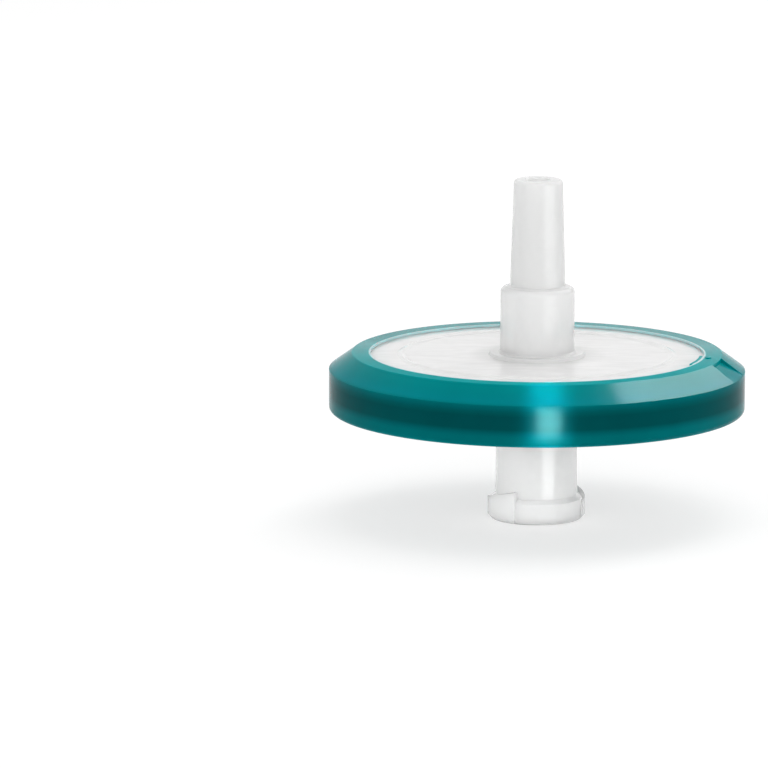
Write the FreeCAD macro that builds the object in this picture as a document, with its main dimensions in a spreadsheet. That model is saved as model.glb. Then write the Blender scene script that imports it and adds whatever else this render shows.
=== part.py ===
import FreeCAD, Part
import math
import os
import Sketcher

# Syringe filter, 33 mm class: two welded polypropylene housings clamp a membrane disc, and a ring moulded
# over their rims seals them. It stands on the mouth of its female Luer lock, with the male Luer slip up.
# Origin: centre of the mouth's face. +Z runs along the filter's axis, from inlet to outlet. Millimetres.

SIZES = {
    # Female Luer lock (inlet)
    "socket_diameter": (4.29, "Width of the female cone at the mouth's face"),
    "socket_depth": (7.6, "Depth of the female cone"),
    "luer_taper": (0.06, "Luer cone: loss of diameter for each unit of length"),
    "socket_lead_in": (0.08, "Bevel at the socket's mouth"),
    "passage_diameter": (2.4, "Hole from the socket's end to the inlet chamber"),
    "barrel_length": (9.5, "From the mouth's face to the inlet plate"),
    "barrel_wall": (1.155, "Wall between socket and barrel at the mouth"),
    "barrel_draft": (0.04, "How much the barrel's radius shrinks towards the plate"),
    "collar_height": (1.65, "Height of the round collar at the mouth, at its outer edge"),
    "collar_slope": (0.3, "How much higher the collar is where it meets the barrel"),
    "collar_reach": (0.425, "How far the collar stands out from the barrel"),
    "mouth_bevel": (0.3, "Bevel round the outside of the mouth, on collar and lugs"),
    "lug_reach": (0.19, "How far the lock lugs stand out from the collar"),
    "lug_lead": (5.0, "Rise of the lugs' thread faces in one turn"),
    "lug_span": (78.0, "Angle that each lug covers, in degrees"),
    "lug_start": (165.0, "Azimuth of the first lug's low end, in degrees"),
    "lug_low": (1.5, "Height of a lug's thread face at its low end"),
    "foot_radius": (1.1, "Fillet between the barrel and its hub"),
    "hub_height": (0.7, "How far the hub round the barrel's foot stands out from the plate"),
    "hub_width": (0.79, "Flat part of the hub outside the fillet"),
    # Inlet plate
    "plate_thickness": (1.0, "Inlet plate"),
    "chamber_height": (0.55, "Room between the inlet plate and the membrane"),
    "sector_count": (12, "Sectors of teeth, with a radial channel between each two"),
    "tooth_pitch": (0.55, "Spacing of the straight teeth that cross a sector of the inlet plate"),
    "tooth_height": (0.22, "Height of those teeth"),
    "tooth_field_inner": (5.4, "From the axis to the innermost tooth, square to the tooth"),
    "channel_width": (0.35, "Width of the inlet plate's radial channels"),
    "land_width": (0.57, "Raised land round the inlet plate, inside the ring"),
    "land_height": (0.35, "Height of that land"),
    # Membrane and its seat
    "membrane_thickness": (0.15, "Membrane disc"),
    "membrane_clearance": (0.05, "Gap round the membrane in its seat"),
    "seal_width": (0.6, "Rim of the membrane that the housings clamp"),
    # Outlet plate
    "outlet_plate": (2.04, "From the membrane to the outlet plate's outer face"),
    "support_depth": (0.3, "Depth of the grooves behind the membrane"),
    "support_pitch": (2.2, "Spacing of the support ribs"),
    "support_width": (0.5, "Width of a support rib"),
    "support_inner": (2.6, "Radius of the innermost support rib"),
    "drain_width": (0.7, "Width of the radial drains through the support ribs"),
    "witness_radius": (10.9, "Radius of the faint raised ring on the outlet plate"),
    "witness_width": (0.7, "Width of that ring"),
    "witness_height": (0.12, "Height of that ring"),
    # Male Luer slip (outlet)
    "tip_diameter": (3.93, "Width of the male cone at its tip"),
    "luer_length": (8.55, "Length of the male cone"),
    "tip_round": (0.3, "Rounding of the tip's outer edge"),
    "shoulder_width": (0.76, "Step from the cone out to the boss"),
    "shoulder_drop": (0.1, "Slope of the shoulder over its flat part"),
    "shoulder_round": (0.45, "Rounding of the boss's upper edge"),
    "boss_height": (5.66, "From the outlet plate to the top of the boss"),
    "boss_foot": (0.15, "Bevel at the foot of the boss"),
    "foot_ring_width": (0.92, "Raised ring round the foot of the boss"),
    "foot_ring_height": (0.25, "How far that ring stands out from the outlet plate"),
    "foot_ring_bevel": (0.12, "Slope of that ring's outer edge"),
    "outlet_bore": (1.9, "Width of the outlet hole at the tip"),
    "outlet_bore_draft": (0.3, "How much that hole's radius grows towards the plate"),
    "outlet_bore_edge": (0.1, "Bevel at the outlet hole's mouth"),
    # Sealing ring
    "ring_diameter": (33.4, "Outside of the ring, and of the filter"),
    "ring_wall": (1.7, "Ring outside the housings' rims"),
    "inlet_band": (3.83, "Ring's width on the inlet face"),
    "inlet_cover": (0.4, "Ring's thickness over the inlet housing's rim"),
    "outlet_band": (3.3, "Ring's width on the outlet face"),
    "outlet_cover": (0.5, "Ring's thickness over the outlet housing's rim"),
    "face_step": (0.1, "How far the ring's inlet face stands out from the land"),
    "outlet_step": (0.2, "How far the ring stands out from the outlet plate"),
    "chamfer_width": (1.85, "Ring's chamfer, measured along the radius"),
    "chamfer_height": (1.34, "Ring's chamfer, measured along the axis"),
    "lip_height": (0.27, "How far the lip stands out from the ring's inlet face"),
    "lip_crest": (0.17, "Flat crest of the lip"),
    "lip_round": (0.35, "Rounding of the ring's lower outer edge"),
    "lip_groove": (0.16, "Width of the fine groove inside the lip"),
    "lip_groove_depth": (0.18, "Depth of that groove below the crest"),
    "lip_slope": (0.52, "Width of the slope from the groove to the flat face"),
    # Gate of the ring's moulding
    "notch_start": (-20.8, "Azimuth where the gate's notch begins, in degrees"),
    "notch_span": (12.3, "Angle that the notch covers, in degrees"),
    "notch_depth": (0.35, "Depth of the notch at its inner end"),
    "pad_start": (-22.0, "Azimuth where the pad inside the notch begins, in degrees"),
    "pad_span": (17.0, "Angle that the pad covers, in degrees"),
    "pad_reach": (0.35, "How far the pad reaches over the outlet plate"),
    "nub_azimuth": (-9.2, "Azimuth of the nub left where the gate was cut, in degrees"),
    "nub_inset": (0.45, "From the ring's inner edge to the nub's centre"),
    "nub_diameter": (0.5, "Width of the nub"),
    "nub_height": (0.08, "Height of the nub"),
}

LUG_COUNT = 2  # a Luer lock has a double thread
OVERCUT = 1.0  # how far a cutting tool runs past the material
ANCHOR = 0.4  # how deep an added feature starts inside the solid that carries it


class Formula:
    """Arithmetic on the sheet's cells, kept as expression text that setExpression can bind."""

    def __init__(self, text):
        self.text = text

    def __str__(self):
        return self.text

    def __add__(self, other):
        return Formula(f"({self} + {other})")

    def __sub__(self, other):
        return Formula(f"({self} - {other})")

    def __mul__(self, other):
        return Formula(f"({self} * {other})")

    def __truediv__(self, other):
        return Formula(f"({self} / {other})")


def make_sheet(document):
    """The spreadsheet with one aliased cell for each driving dimension."""
    sheet = document.addObject("Spreadsheet::Sheet", "Sizes")
    for row, (alias, (number, note)) in enumerate(SIZES.items(), start=1):
        sheet.set(f"A{row}", note)
        sheet.set(f"B{row}", str(number))
        sheet.setAlias(f"B{row}", alias)
    document.recompute()
    return sheet


doc = FreeCAD.newDocument("SyringeFilter")
sizes = make_sheet(doc)


def cell(alias):
    """The formula that reads one size."""
    return Formula(f"Sizes.{alias}")


def value(formula):
    """What a formula comes to with the sheet as it is."""
    return float(sizes.evalExpression(str(formula)))


# --- Radii and levels that more than one piece shares -------------------------------------------------

ring_radius = cell("ring_diameter") / 2
rim_radius = ring_radius - cell("ring_wall")
inlet_window = ring_radius - cell("inlet_band")
outlet_window = ring_radius - cell("outlet_band")
plate_radius = inlet_window - cell("land_width")
membrane_radius = plate_radius
chamber_radius = membrane_radius - cell("seal_width")

socket_radius = cell("socket_diameter") / 2
barrel_radius = socket_radius + cell("barrel_wall")
barrel_foot_radius = barrel_radius - cell("barrel_draft")
collar_radius = barrel_radius + cell("collar_reach")
lug_radius = collar_radius + cell("lug_reach")
hub_radius = barrel_foot_radius + cell("foot_radius") + cell("hub_width")
passage_radius = cell("passage_diameter") / 2

tip_radius = cell("tip_diameter") / 2
cone_radius = tip_radius + cell("luer_length") * cell("luer_taper") / 2
boss_radius = cone_radius + cell("shoulder_width")
bore_tip_radius = cell("outlet_bore") / 2
bore_foot_radius = bore_tip_radius + cell("outlet_bore_draft")

plate_face = cell("barrel_length")
land_face = plate_face - cell("land_height")
ring_face = land_face - cell("face_step")
ring_bottom = ring_face - cell("lip_height")
inlet_rim_face = ring_face + cell("inlet_cover")
chamber_floor = plate_face + cell("plate_thickness")
joint_face = chamber_floor + cell("chamber_height")
membrane_top = joint_face + cell("membrane_thickness")
outlet_face = membrane_top + cell("outlet_plate")
ring_top = outlet_face + cell("outlet_step")
outlet_rim_face = ring_top - cell("outlet_cover")
boss_top = outlet_face + cell("boss_height")
tip_top = boss_top + cell("luer_length")


# --- PartDesign helpers -------------------------------------------------------------------------------


def origin_plane(body, role):
    """One of the body's own origin planes."""
    return next(item for item in body.Origin.OriginFeatures if item.Role == role)


def arc_between(start, end, centre_across):
    """The shorter arc between two points, counterclockwise, and whether it runs from start to end."""
    step = end - start
    middle = (start + end) / 2
    centre = FreeCAD.Vector(centre_across, middle.y - (centre_across - middle.x) * step.x / step.y, 0)
    forward = (start - centre).cross(end - centre).z > 0
    first, last = (start, end) if forward else (end, start)
    begin = math.atan2(first.y - centre.y, first.x - centre.x)
    sweep = (first - centre).getAngle(last - centre)
    circle = Part.Circle(centre, FreeCAD.Vector(0, 0, 1), (start - centre).Length)
    return Part.ArcOfCircle(circle, begin, begin + sweep), forward


def bind(sketch, constraint, formula):
    """Add a constraint and tie its number to the sheet."""
    index = sketch.addConstraint(constraint)
    sketch.renameConstraint(index, f"size_{index}")
    sketch.setExpression(f"Constraints.size_{index}", str(formula))


def new_sketch(body, name, role, turn=None, level=None):
    """An empty sketch on one of the body's planes.

    turn swings the sketch about the filter's axis, in degrees, and level lifts a flat sketch to a height.
    """
    sketch = body.newObject("Sketcher::SketchObject", name)
    sketch.AttachmentSupport = [(origin_plane(body, role), "")]
    sketch.MapMode = "FlatFace"
    if turn is not None:
        up = FreeCAD.Vector(0, 1, 0) if role == "XZ_Plane" else FreeCAD.Vector(0, 0, 1)
        sketch.AttachmentOffset = FreeCAD.Placement(FreeCAD.Vector(), FreeCAD.Rotation(up, 1))
        sketch.setExpression("AttachmentOffset.Rotation.Angle", str(turn))
    if level is not None:
        sketch.setExpression("AttachmentOffset.Base.z", str(level))
    return sketch


def outline(body, name, corners, role="XZ_Plane", turn=None, level=None):
    """A closed sketch through corners, with each corner's two coordinates bound to the sheet.

    A corner is (across, up), or (across, up, centre_across) where an arc with its centre there leads on.
    """
    sketch = new_sketch(body, name, role, turn, level)
    points = [FreeCAD.Vector(value(corner[0]), value(corner[1]), 0) for corner in corners]
    tails, heads = [], []
    for index, corner in enumerate(corners):
        start, end = points[index], points[(index + 1) % len(points)]
        if len(corner) == 2:
            edge = sketch.addGeometry(Part.LineSegment(start, end))
            forward = True
        else:
            arc, forward = arc_between(start, end, value(corner[2]))
            edge = sketch.addGeometry(arc)
            bind(sketch, Sketcher.Constraint("DistanceX", edge, 3, value(corner[2])), corner[2])
        tails.append((edge, 1 if forward else 2))
        heads.append((edge, 2 if forward else 1))
    for index, head in enumerate(heads):
        tail = tails[(index + 1) % len(tails)]
        sketch.addConstraint(Sketcher.Constraint("Coincident", *head, *tail))
    for tail, corner, point in zip(tails, corners, points):
        bind(sketch, Sketcher.Constraint("DistanceX", *tail, point.x), corner[0])
        bind(sketch, Sketcher.Constraint("DistanceY", *tail, point.y), corner[1])
    return sketch


def turned(body, name, corners, kind="Revolution", angle=360, turn=None):
    """Revolve an outline about the filter's axis, as material (Revolution) or as a cut (Groove)."""
    sketch = outline(body, f"{name}_outline", corners, turn=turn)
    feature = body.newObject(f"PartDesign::{kind}", name)
    feature.Profile = sketch
    feature.ReferenceAxis = (sketch, ["V_Axis"])
    feature.setExpression("Angle", str(angle))
    return feature


def repeated(body, name, feature, axis, count):
    """Repeat a feature evenly round the filter's axis and make the result the body's tip."""
    pattern = body.newObject("PartDesign::PolarPattern", name)
    pattern.Originals = [feature]
    pattern.Axis = axis
    pattern.Angle = 360
    pattern.setExpression("Occurrences", str(count))
    body.Tip = pattern


def radial_channels(body, name, inner, outer, width, level, depth, upward, turn=None):
    """Straight channels from the inner to the outer radius, sunk from level by depth, one to a sector."""
    half = width / 2
    corners = [(inner, half * -1), (outer, half * -1), (outer, half), (inner, half)]
    sketch = outline(body, f"{name}_outline", corners, role="XY_Plane", turn=turn, level=level)
    channel = body.newObject("PartDesign::Pocket", name)
    channel.Profile = sketch
    channel.setExpression("Length", str(depth))
    channel.Reversed = upward
    repeated(body, f"{name}s", channel, (sketch, ["N_Axis"]), cell("sector_count"))


# --- The four pieces ----------------------------------------------------------------------------------


def make_inlet_housing():
    """Female Luer lock, hub, plate with its sectors of teeth, and the rim that the ring grips."""
    body = doc.addObject("PartDesign::Body", "inlet_housing")
    lead_in = cell("socket_lead_in")
    socket_end_radius = socket_radius - cell("socket_depth") * cell("luer_taper") / 2
    hub_face = plate_face - cell("hub_height")
    corners = [
        (socket_radius + lead_in, 0),
        (collar_radius, 0),
        (collar_radius, cell("collar_height")),
        (barrel_radius, cell("collar_height") + cell("collar_slope")),
        (barrel_foot_radius, hub_face - cell("foot_radius"), barrel_foot_radius + cell("foot_radius")),
        (barrel_foot_radius + cell("foot_radius"), hub_face),
        (hub_radius, hub_face),
        (hub_radius, plate_face),
        (plate_radius, plate_face),
        (plate_radius, land_face),
        (inlet_window, land_face),
        (inlet_window, inlet_rim_face),
        (rim_radius, inlet_rim_face),
        (rim_radius, joint_face),
        (chamber_radius, joint_face),
        (chamber_radius, chamber_floor),
        (passage_radius, chamber_floor),
        (passage_radius, cell("socket_depth")),
        (socket_end_radius, cell("socket_depth")),
        (socket_radius - lead_in * cell("luer_taper") / 2, lead_in),
    ]
    turned(body, "inlet_shell", corners)
    add_teeth(body)
    add_lock_lugs(body)
    return body


def add_teeth(body):
    """Rows of straight saw teeth that cross each sector and mitre with the next, cut by radial channels."""
    half_sector = Formula("(180 / Sizes.sector_count)")
    field_inner = cell("tooth_field_inner")
    corner_radius = field_inner / Formula("cos(180deg / Sizes.sector_count)")
    path = [(field_inner, 0)]
    for index in range(int(value(cell("sector_count")))):
        azimuth = f"({index + 0.5} * 360deg / Sizes.sector_count)"
        path.append((corner_radius * Formula(f"cos{azimuth}"), corner_radius * Formula(f"sin{azimuth}")))
    spine = outline(body, "tooth_path", path, role="XY_Plane", level=chamber_floor)
    room = value(chamber_radius) * math.cos(math.radians(value(half_sector))) - value(field_inner)
    foot = field_inner
    profile = [(foot, chamber_floor - ANCHOR)]
    for _ in range(int(room / value(cell("tooth_pitch")))):
        profile.append((foot, chamber_floor))
        foot = foot + cell("tooth_pitch")
        profile.append((foot, chamber_floor + cell("tooth_height")))
    profile.append((foot, chamber_floor - ANCHOR))
    teeth = body.newObject("PartDesign::AdditivePipe", "teeth")
    teeth.Profile = outline(body, "tooth_profile", profile)
    teeth.Spine = (spine, [])
    teeth.Transition = "Right corner"
    radial_channels(
        body,
        "feed_channel",
        field_inner - cell("tooth_pitch"),
        chamber_radius - cell("tooth_pitch") / 2,
        cell("channel_width"),
        chamber_floor + cell("tooth_height"),
        cell("tooth_height"),
        upward=False,
        turn=half_sector,
    )


def add_lock_lugs(body):
    """Two lugs with right-hand thread faces, and the bevel round the outside of the mouth."""
    buried = barrel_radius - ANCHOR
    run_out = cell("lug_lead") * cell("lug_span") / 360 + OVERCUT
    corners = [
        (buried, run_out * -1),
        (lug_radius, run_out * -1),
        (lug_radius, cell("lug_low")),
        (buried, cell("lug_low")),
    ]
    sketch = outline(body, "lug_outline", corners, turn=cell("lug_start"))
    lug = body.newObject("PartDesign::AdditiveHelix", "lug")
    lug.Profile = sketch
    lug.ReferenceAxis = (sketch, ["V_Axis"])
    lug.Mode = "pitch-turns-angle"
    lug.setExpression("Pitch", str(cell("lug_lead")))
    lug.setExpression("Turns", str(cell("lug_span") / 360))
    repeated(body, "lugs", lug, (sketch, ["V_Axis"]), LUG_COUNT)
    reach = lug_radius + OVERCUT
    below = run_out * -1 - OVERCUT
    trim = [
        (0, below),
        (reach, below),
        (reach, cell("mouth_bevel") + OVERCUT),
        (lug_radius - cell("mouth_bevel"), 0),
        (0, 0),
    ]
    turned(body, "mouth_trim", trim, kind="Groove")


def make_membrane():
    """The filter disc, clamped at its edge between the housings."""
    disc = doc.addObject("Part::Cylinder", "filter_membrane")
    disc.setExpression("Radius", str(membrane_radius))
    disc.setExpression("Height", str(cell("membrane_thickness")))
    disc.setExpression("Placement.Base.z", str(joint_face))
    return disc


def make_outlet_housing():
    """Plate with the membrane's seat and support ribs, boss, and male Luer slip."""
    body = doc.addObject("PartDesign::Body", "outlet_housing")
    seat_radius = membrane_radius + cell("membrane_clearance")
    groove_floor = membrane_top + cell("support_depth")
    room = value(chamber_radius) - value(cell("support_inner")) - value(cell("support_pitch"))
    ribs = []
    for index in range(int(room / value(cell("support_pitch"))) + 1):
        inner = cell("support_inner") + cell("support_pitch") * index
        outer = inner + cell("support_width")
        ribs += [(inner, groove_floor), (inner, membrane_top), (outer, membrane_top), (outer, groove_floor)]
    witness = cell("witness_radius")
    half_witness = cell("witness_width") / 2
    witness_top = outlet_face + cell("witness_height")
    foot_ring_face = outlet_face + cell("foot_ring_height")
    shoulder_face = boss_top - cell("shoulder_drop")
    shoulder_radius = boss_radius - cell("shoulder_round")
    corners = [
        (bore_foot_radius, groove_floor),
        *ribs,
        (chamber_radius, groove_floor),
        (chamber_radius, membrane_top),
        (seat_radius, membrane_top),
        (seat_radius, joint_face),
        (rim_radius, joint_face),
        (rim_radius, outlet_rim_face),
        (outlet_window, outlet_rim_face),
        (outlet_window, outlet_face),
        (witness + half_witness, outlet_face),
        (witness, witness_top),
        (witness - half_witness, outlet_face),
        (boss_radius + cell("foot_ring_width"), outlet_face),
        (boss_radius + cell("foot_ring_width") - cell("foot_ring_bevel"), foot_ring_face),
        (boss_radius + cell("boss_foot"), foot_ring_face),
        (boss_radius, foot_ring_face + cell("boss_foot")),
        (boss_radius, shoulder_face - cell("shoulder_round"), shoulder_radius),
        (shoulder_radius, shoulder_face),
        (cone_radius, boss_top),
        (tip_radius, tip_top - cell("tip_round"), tip_radius - cell("tip_round")),
        (tip_radius - cell("tip_round"), tip_top),
        (bore_tip_radius + cell("outlet_bore_edge"), tip_top),
        (bore_tip_radius, tip_top - cell("outlet_bore_edge")),
    ]
    turned(body, "outlet_shell", corners)
    radial_channels(
        body,
        "drain",
        bore_foot_radius,
        chamber_radius - cell("support_width") / 2,
        cell("drain_width"),
        membrane_top,
        cell("support_depth"),
        upward=True,
    )
    return body


def make_sealing_ring():
    """The ring moulded over both rims, with its lip, its chamfer and the traces of its gate."""
    body = doc.addObject("PartDesign::Body", "sealing_ring")
    chamfer_radius = ring_radius - cell("chamfer_width")
    crest_outer = ring_radius - cell("lip_round")
    groove_outer = crest_outer - cell("lip_crest")
    groove_inner = groove_outer - cell("lip_groove")
    groove_top = ring_bottom + cell("lip_groove_depth")
    corners = [
        (inlet_window, ring_face),
        (groove_inner - cell("lip_slope"), ring_face),
        (groove_inner, ring_bottom + cell("lip_groove_depth") / 2),
        (groove_outer - cell("lip_groove") / 2, groove_top),
        (groove_outer, ring_bottom),
        (crest_outer, ring_bottom, crest_outer),
        (ring_radius, ring_bottom + cell("lip_round")),
        (ring_radius, ring_top - cell("chamfer_height")),
        (chamfer_radius, ring_top),
        (outlet_window, ring_top),
        (outlet_window, outlet_rim_face),
        (rim_radius, outlet_rim_face),
        (rim_radius, inlet_rim_face),
        (inlet_window, inlet_rim_face),
    ]
    turned(body, "ring", corners)
    add_gate(body, chamfer_radius)
    return body


def add_gate(body, chamfer_radius):
    """Notch across the chamfer, the pad inside it, and the nub where the sprue was cut off."""
    side_top = ring_top - cell("chamfer_height")
    notch = [
        (chamfer_radius, ring_top - cell("notch_depth")),
        (ring_radius, side_top),
        (ring_radius + OVERCUT, side_top),
        (ring_radius + OVERCUT, ring_top + OVERCUT),
        (chamfer_radius, ring_top + OVERCUT),
    ]
    turned(body, "gate_notch", notch, kind="Groove", angle=cell("notch_span"), turn=cell("notch_start"))
    pad = [
        (outlet_window - cell("pad_reach"), outlet_face),
        (outlet_window + ANCHOR, outlet_face),
        (outlet_window + ANCHOR, ring_top),
        (outlet_window - cell("pad_reach"), ring_top),
    ]
    turned(body, "gate_pad", pad, angle=cell("pad_span"), turn=cell("pad_start"))
    foot = new_sketch(body, "gate_nub_outline", "XY_Plane", turn=cell("nub_azimuth"), level=ring_top)
    nub_radius = cell("nub_diameter") / 2
    nub_place = outlet_window + cell("nub_inset")
    spot = FreeCAD.Vector(value(nub_place), 0, 0)
    circle = foot.addGeometry(Part.Circle(spot, FreeCAD.Vector(0, 0, 1), value(nub_radius)))
    bind(foot, Sketcher.Constraint("DistanceX", circle, 3, spot.x), nub_place)
    foot.addConstraint(Sketcher.Constraint("PointOnObject", circle, 3, -1))
    bind(foot, Sketcher.Constraint("Radius", circle, value(nub_radius)), nub_radius)
    nub = body.newObject("PartDesign::Pad", "gate_nub")
    nub.Profile = foot
    nub.setExpression("Length", str(cell("nub_height")))


def main():
    pieces = [make_inlet_housing(), make_membrane(), make_outlet_housing(), make_sealing_ring()]
    doc.recompute()
    for item in doc.Objects:
        if "Invalid" in item.State or "Error" in item.State:
            raise RuntimeError(f"{item.Name} failed: {item.State}")
    os.makedirs("parts", exist_ok=True)
    for piece in pieces:
        shape = piece.Shape
        if shape.isNull() or not shape.isValid() or len(shape.Solids) != 1:
            raise RuntimeError(f"{piece.Label} is not one valid solid")
        shape.exportStep(f"parts/{piece.Label}.step")
        print(piece.Label, f"{shape.Volume:.2f} mm3, {len(shape.Faces)} faces")


main()
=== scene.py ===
import bpy
import math
from mathutils import Matrix, Vector


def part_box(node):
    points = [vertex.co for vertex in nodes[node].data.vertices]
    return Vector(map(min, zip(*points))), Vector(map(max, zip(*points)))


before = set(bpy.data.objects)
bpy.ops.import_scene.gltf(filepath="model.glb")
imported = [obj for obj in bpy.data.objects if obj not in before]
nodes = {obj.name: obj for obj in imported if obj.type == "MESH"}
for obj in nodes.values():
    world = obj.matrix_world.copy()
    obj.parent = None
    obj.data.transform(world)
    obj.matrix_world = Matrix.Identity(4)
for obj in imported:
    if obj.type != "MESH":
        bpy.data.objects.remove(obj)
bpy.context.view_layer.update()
scene = bpy.context.scene

MOUTH_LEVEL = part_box("inlet_housing")[0].z
FLOOR_GAP = 0.00008

# Radii and heights in millimetres, as `coordinates` gives them.
RING_RADIUS = 16.7
WINDOW_EDGE = 12.7
CHAMFER_EDGE = 14.85
RING_FOOT = 8.7
RING_RISE = 5.0
PLATE_LEVEL = 10.0

POLYPROPYLENE_IOR = 1.49
# Slope given to the ring's flat face by its bump: the height that it loses, in metres, for each
# millimetre of radius.
LIP_SLOPE = -0.00021

# The camera's fit: pixels for each millimetre at the aim, and the distance from it, in millimetres.
PICTURE_WIDTH = 768
PIXELS_PER_MM = 12.4691
CAMERA_DISTANCE_MM = 477.16
AXIS_COLUMN = 537.292
AIM_ROW = 336.614
SENSOR_WIDTH = 36


# --- Node helpers -------------------------------------------------------------------------------------


class Nodes:
    """A material's or world's node tree, emptied and ready to build."""

    def __init__(self, owner):
        self.owner = owner
        owner.use_nodes = True
        self.tree = owner.node_tree
        self.tree.nodes.clear()

    def add(self, kind, inputs=None, **settings):
        node = self.tree.nodes.new(kind)
        for name, setting in settings.items():
            setattr(node, name, setting)
        for name, source in (inputs or {}).items():
            self.feed(node.inputs[name], source)
        return node

    def feed(self, socket, source):
        if isinstance(source, bpy.types.NodeSocket):
            self.tree.links.new(source, socket)
        else:
            socket.default_value = source

    def maths(self, operation, *values):
        return self.add("ShaderNodeMath", dict(enumerate(values)), operation=operation).outputs[0]

    def ramp(self, factor, stops):
        """A colour ramp from (place, grey or colour) stops."""
        node = self.add("ShaderNodeValToRGB", {"Fac": factor})
        elements = node.color_ramp.elements
        while len(elements) < len(stops):
            elements.new(0.5)
        for element, (place, shade) in zip(elements, stops):
            element.position = place
            element.color = (*shade, 1) if isinstance(shade, tuple) else (shade, shade, shade, 1)
        return node.outputs["Color"]

    def noise(self, scale, detail=2.0, stretch=None):
        """Noise in the part's own space, scale in features per metre."""
        where = self.add("ShaderNodeTexCoord").outputs["Object"]
        if stretch:
            where = self.add("ShaderNodeMapping", {"Vector": where, "Scale": stretch}).outputs[0]
        inputs = {"Vector": where, "Scale": scale, "Detail": detail}
        return self.add("ShaderNodeTexNoise", inputs).outputs["Fac"]


def new_material(name):
    return Nodes(bpy.data.materials.new(name))


def coordinates(t):
    """Radius from the filter's axis and height above the mouth, both in millimetres."""
    split = t.add("ShaderNodeSeparateXYZ", {"Vector": t.add("ShaderNodeTexCoord").outputs["Object"]})
    across = t.maths("SQRT", t.maths("ADD", t.maths("POWER", split.outputs["X"], 2.0),
                                     t.maths("POWER", split.outputs["Y"], 2.0)))
    return t.maths("MULTIPLY", across, 1000.0), t.maths("MULTIPLY", split.outputs["Z"], 1000.0)


def wear_bump(t, fine, broad, strength, under=None):
    """Fine moulded grain over a broad, shallow waviness, and over any larger relief under them."""
    height = t.maths("ADD", t.noise(fine, 3.0), t.maths("MULTIPLY", t.noise(broad, 1.0), 2.0))
    bump = t.add("ShaderNodeBump", {"Height": height, "Strength": strength, "Distance": 0.00002})
    if under:
        t.feed(bump.inputs["Normal"], under)
    return bump.outputs[0]


def clear_plastic(name, plate, channel_shade):
    """Natural polypropylene: milky where it is thick and as clear as given in the flat plate, with a painted
    teal tint near the rim and painted grey shade, as given, along the channels inside the inlet's plate."""
    t = new_material(name)
    radius, height = coordinates(t)
    place = t.maths("DIVIDE", radius, RING_RADIUS)
    clear = t.ramp(place, [(0.24, 0.3), (0.34, plate)])
    # Warm white inward; towards the rim a painted cyan tint stands in for light tinted by the teal ring.
    white_and_painted_teal_spill = t.ramp(place, [(0.68, (0.96, 0.955, 0.95)), (0.75, (0.9, 0.945, 0.945))])
    streaks = t.ramp(t.noise(420.0, 3.0, stretch=(1.0, 2.6, 1.0)), [(0.35, 0.92), (0.6, 1.0)])
    streaks = t.maths("MAXIMUM", streaks, t.ramp(place, [(0.24, 0.985), (0.3, 0.0)]))
    # Painted shade: darker grey, as given, along the channels inside the inlet's plate, 10.46 to 10.56 mm
    # above the mouth.
    painted_channel_shade = t.ramp(t.maths("SUBTRACT", height, PLATE_LEVEL), [
        (0.4, 1.0), (0.46, channel_shade), (0.56, channel_shade), (0.75, 1.0)])
    shade = t.maths("MULTIPLY", streaks, painted_channel_shade)
    colour = t.add("ShaderNodeVectorMath", {0: white_and_painted_teal_spill, "Scale": shade}, operation="SCALE").outputs[0]
    shader = t.add("ShaderNodeBsdfPrincipled", {
        "Base Color": colour,
        "Roughness": t.maths("MULTIPLY_ADD", t.noise(900.0), 0.08, 0.08),
        "IOR": POLYPROPYLENE_IOR,
        "Transmission Weight": clear,
        "Subsurface Weight": 1.0,
        "Subsurface Radius": (1.0, 1.0, 1.0),
        "Subsurface Scale": 0.0025,
        "Normal": wear_bump(t, 2500.0, 220.0, 0.08),
    })
    t.add("ShaderNodeOutputMaterial", {"Surface": shader.outputs[0]})
    return t.owner


def membrane_sheet():
    t = new_material("membrane")
    colour = t.ramp(t.noise(1500.0, 4.0), [(0.3, (0.90, 0.90, 0.89)), (0.7, (0.97, 0.97, 0.96))])
    shader = t.add("ShaderNodeBsdfPrincipled", {
        "Base Color": colour,
        "Roughness": t.maths("MULTIPLY_ADD", t.noise(4000.0), 0.2, 0.7),
        "Specular IOR Level": 0.3,
        "Normal": t.add("ShaderNodeBump", {"Height": t.noise(6000.0, 4.0), "Strength": 0.3,
                                           "Distance": 0.00002}).outputs[0],
    })
    t.add("ShaderNodeOutputMaterial", {"Surface": shader.outputs[0]})
    return t.owner


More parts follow.
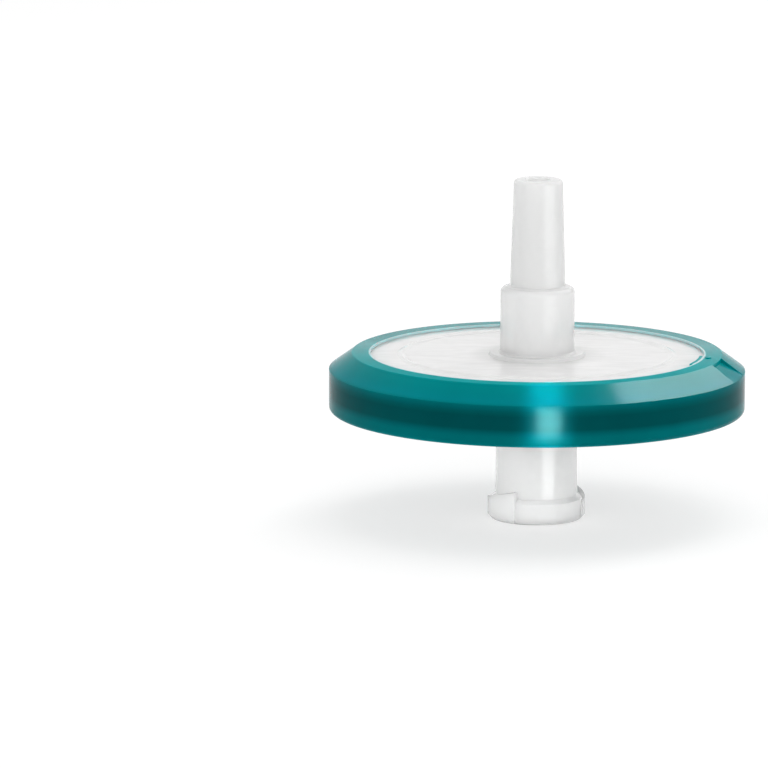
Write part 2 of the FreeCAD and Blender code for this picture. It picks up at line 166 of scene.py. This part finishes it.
def teal_plastic():
    """Tinted plastic, lighter where it lies thinly over the white rims than where it is thick, with painted
    light and shade in bands by height and painted light on its inner wall.
    """
    t = new_material("tinted_polypropylene")
    radius, height = coordinates(t)
    outward = t.maths("DIVIDE", t.maths("SUBTRACT", radius, WINDOW_EDGE), 4.1)
    # Lighter where the ring lies thinly over the white rims; the pale band at its inner wall, near 13.4 mm of
    # radius, is also painted light in place of that wall's shade.
    thin_over_rim_and_painted_light, face = (0.3, 0.42, 0.43), (0.0, 0.17, 0.178)
    tint = t.ramp(outward, [
        (0.04, (0.05, 0.3, 0.31)), (0.09, face), (0.14, face), (0.16, thin_over_rim_and_painted_light), (0.185, thin_over_rim_and_painted_light),
        (0.21, face), (0.51, face), (0.55, (0.0, 0.13, 0.135)), (0.75, (0.0, 0.123, 0.133)),
        (0.9, (0.0, 0.123, 0.14)), (1.0, (0.0, 0.112, 0.12))])
    # Painted light and shade by height: much lighter at the ring's lower round edge, lighter in the lower
    # band of its side, darker across the middle, and lighter again from the top of the side up over the
    # chamfer and flat face.
    level = t.maths("DIVIDE", t.maths("SUBTRACT", height, RING_FOOT), RING_RISE)
    painted_light_bands = t.ramp(level, [
        (0.02, 2.0), (0.06, 1.15), (0.18, 1.1), (0.23, 0.9), (0.3, 0.56), (0.5, 0.54),
        (0.58, 0.72), (0.66, 1.05), (0.7, 1.4)])
    cloud = t.ramp(t.noise(140.0, 2.0), [(0.3, 0.93), (0.7, 1.06)])
    shade = t.maths("MULTIPLY", painted_light_bands, cloud)
    colour = t.add("ShaderNodeVectorMath", {0: tint, "Scale": shade}, operation="SCALE").outputs[0]
    fall = t.maths("MULTIPLY", t.maths("MINIMUM", radius, CHAMFER_EDGE), LIP_SLOPE)
    lip = t.add("ShaderNodeBump", {"Height": fall, "Strength": 1.0, "Distance": 1.0}).outputs[0]
    shader = t.add("ShaderNodeBsdfPrincipled", {
        "Base Color": colour,
        "Roughness": t.maths("MULTIPLY_ADD", t.noise(700.0), 0.08, 0.11),
        "IOR": POLYPROPYLENE_IOR,
        "Specular IOR Level": 0.015,
        "Specular Tint": (0.3, 1.0, 1.0, 1),
        "Subsurface Weight": 0.6,
        "Subsurface Radius": (0.1, 1.0, 1.0),
        "Subsurface Scale": 0.0005,
        "Normal": wear_bump(t, 2200.0, 260.0, 0.08, lip),
    })
    t.add("ShaderNodeOutputMaterial", {"Surface": shader.outputs[0]})
    return t.owner


FINISHES = {
    "inlet_housing": clear_plastic("inlet_polypropylene", 0.88, 0.35),
    "outlet_housing": clear_plastic("outlet_polypropylene", 0.15, 1.0),
    "filter_membrane": membrane_sheet(),
    "sealing_ring": teal_plastic(),
}
for name, finish in FINISHES.items():
    data = nodes[name].data
    data.materials.clear()
    data.materials.append(finish)


# --- Floor and light ----------------------------------------------------------------------------------


def seen_rays(t):
    """1 for the rays that should see the white studio: from the camera, or through gloss and glass."""
    path = t.add("ShaderNodeLightPath")
    seen = t.maths("MAXIMUM", path.outputs["Is Camera Ray"], path.outputs["Is Transmission Ray"])
    return t.maths("MAXIMUM", seen, path.outputs["Is Glossy Ray"])


def make_floor():
    """A white floor under the mouth, seen from above only, that keeps the filter's shadow."""
    half = 3.0
    mesh = bpy.data.meshes.new("studio_floor")
    corners = [(-half, -half, 0), (half, -half, 0), (half, half, 0), (-half, half, 0)]
    mesh.from_pydata(corners, [], [(0, 1, 2, 3)])
    floor = bpy.data.objects.new("studio_floor", mesh)
    scene.collection.objects.link(floor)
    floor.location.z = MOUTH_LEVEL - FLOOR_GAP
    t = new_material("studio_floor")
    seen = seen_rays(t)
    shade = t.maths("MULTIPLY_ADD", seen, -0.34, 0.8)
    diffuse = t.add("ShaderNodeBsdfDiffuse", {"Color": t.add("ShaderNodeCombineColor", {
        "Red": shade, "Green": shade, "Blue": shade}).outputs[0]})
    glow = t.add("ShaderNodeEmission", {"Color": (1, 1, 1, 1), "Strength": t.maths("MULTIPLY", seen, 0.59)})
    lit = t.add("ShaderNodeAddShader", {0: diffuse.outputs[0], 1: glow.outputs[0]})
    below = t.add("ShaderNodeNewGeometry").outputs["Backfacing"]
    surface = t.add("ShaderNodeMixShader", {"Fac": below, 1: lit.outputs[0],
                                            2: t.add("ShaderNodeBsdfTransparent").outputs[0]})
    t.add("ShaderNodeOutputMaterial", {"Surface": surface.outputs[0]})
    mesh.materials.append(t.owner)


def make_world():
    """A pale studio: bright low down, where the backdrop stands, and dimmer overhead."""
    world = bpy.data.worlds.new("studio")
    scene.world = world
    t = Nodes(world)
    upward = t.add("ShaderNodeTexCoord").outputs["Generated"]
    split = t.add("ShaderNodeSeparateXYZ", {"Vector": upward})
    studio = t.ramp(split.outputs["Z"], [(0.0, 0.9), (0.3, 0.8), (0.6, 0.62), (1.0, 0.55)])
    light = t.add("ShaderNodeMix", {0: seen_rays(t), 6: studio, 7: (1, 1, 1, 1)}, data_type="RGBA").outputs[2]
    sky = t.add("ShaderNodeBackground", {"Color": light, "Strength": 1.0})
    t.add("ShaderNodeOutputWorld", {"Surface": sky.outputs[0]})


def make_softbox(name, azimuth, elevation, distance, width, height, power, target=(0, 0, 0.012)):
    """An area lamp that faces the filter. Angles in degrees, lengths in metres, power in watts."""
    lamp = bpy.data.lights.new(name, "AREA")
    lamp.shape = "RECTANGLE"
    lamp.size, lamp.size_y = width, height
    lamp.energy = power
    thing = bpy.data.objects.new(name, lamp)
    scene.collection.objects.link(thing)
    turn, lift = math.radians(azimuth), math.radians(elevation)
    away = Vector((math.cos(turn) * math.cos(lift), math.sin(turn) * math.cos(lift), math.sin(lift)))
    thing.location = Vector(target) + away * distance
    thing.rotation_euler = away.to_track_quat("Z", "Y").to_euler()
    return thing


def light_only(lamp, names, gloss):
    """Let a lamp reach the named nodes alone, as gloss or as light on the surface."""
    group = bpy.data.collections.new(lamp.name + "_receivers")
    for name in names:
        group.objects.link(nodes[name])
    lamp.light_linking.receiver_collection = group
    lamp.visible_camera = lamp.visible_transmission = lamp.visible_volume_scatter = False
    lamp.visible_glossy = gloss
    lamp.visible_diffuse = not gloss


def fade_down(lamp, stops):
    """Grade an area lamp from its lower edge, at 0, to its upper edge, at 1."""
    t = Nodes(lamp.data)
    across = t.add("ShaderNodeNewGeometry").outputs["Parametric"]
    where = t.add("ShaderNodeSeparateXYZ", {"Vector": across})
    glow = t.add("ShaderNodeEmission", {"Strength": t.ramp(where.outputs["Y"], stops)})
    t.add("ShaderNodeOutputLight", {"Surface": glow.outputs[0]})


def make_camera():
    """The camera, fitted so that the filter stands where it does in its picture."""
    lift, roll = 0.17196, 0.006985
    focal_pixels = PIXELS_PER_MM * CAMERA_DISTANCE_MM
    middle = PICTURE_WIDTH / 2
    aim = Vector((0, 0, 0.0147))
    data = bpy.data.cameras.new("camera")
    data.sensor_width = SENSOR_WIDTH
    data.lens = focal_pixels * SENSOR_WIDTH / PICTURE_WIDTH
    data.shift_x = (middle - AXIS_COLUMN) / PICTURE_WIDTH
    data.shift_y = (AIM_ROW - middle) / PICTURE_WIDTH
    data.clip_start, data.clip_end = 0.01, 20
    camera = bpy.data.objects.new("camera", data)
    scene.collection.objects.link(camera)
    away = Vector((0, -math.cos(lift), math.sin(lift)))
    right = Vector((1, 0, 0))
    up = away.cross(right)
    c, s = math.cos(roll), math.sin(roll)
    across, upward = right * c + up * s, up * c - right * s
    turned = Matrix((across, upward, away)).transposed().to_4x4()
    camera.matrix_world = Matrix.Translation(aim + away * (CAMERA_DISTANCE_MM / 1000)) @ turned
    scene.camera = camera


make_floor()
make_world()
make_softbox("key_softbox", 52, 47, 0.6, 0.24, 0.6, 0.7)
make_softbox("front_fill", -90, 15, 0.8, 0.8, 0.5, 2.75).visible_glossy = False
make_softbox("top_light", 0, 86, 0.5, 0.3, 0.3, 0.5).visible_glossy = False
for name, azimuth, power in [("low_left", -142, 0.62), ("low_right", -34, 0.5)]:
    light_only(make_softbox(name, azimuth, 6, 0.3, 0.4, 0.1, power), ["inlet_housing"], False)
light_only(make_softbox("ring_fill", -32, 62, 0.5, 0.3, 0.3, 0.5), ["sealing_ring"], False)
gleam = make_softbox("ring_gleam", 53, 44, 0.6, 0.34, 0.5, 38.0)
fade_down(gleam, [
    (0.03, 0.09), (0.2, 0.17), (0.35, 0.29), (0.5, 0.5), (0.65, 0.75), (0.8, 1.05), (0.95, 1.4)])
light_only(gleam, ["sealing_ring"], True)
for name, node, azimuth, distance, low, high, width, power in [
        ("strip_cone", "outlet_housing", -33.5, 0.06, 0.011, 0.024, 0.061, 0.0066),
        ("strip_boss", "outlet_housing", -51, 0.06, 0.001, 0.0105, 0.043, 0.0028),
        ("strip_barrel", "inlet_housing", -61, 0.0116, 0.0003, 0.0083, 0.0064, 0.00065)]:
    middle = (0, 0, (low + high) / 2)
    strip = make_softbox(name, azimuth, 0, distance, width, high - low, power, target=middle)
    light_only(strip, [node], True)
card = make_softbox(
    "front_card", -83.5, -9.5, 0.0104, 0.0045, 0.0021, 0.0002, target=(0.001, -0.0167, 0.0106))
card.data.spread = math.radians(22)
light_only(card, ["sealing_ring"], True)
beam = make_softbox("front_beam", -90, 6, 0.06, 0.0028, 0.018, 0.00034, target=(0.0008, 0, 0.0115))
beam.data.spread = math.radians(4)
beam.data.color = (0.5, 0.93, 1.08)
light_only(beam, ["sealing_ring"], False)
make_camera()

scene.view_settings.view_transform = "Standard"
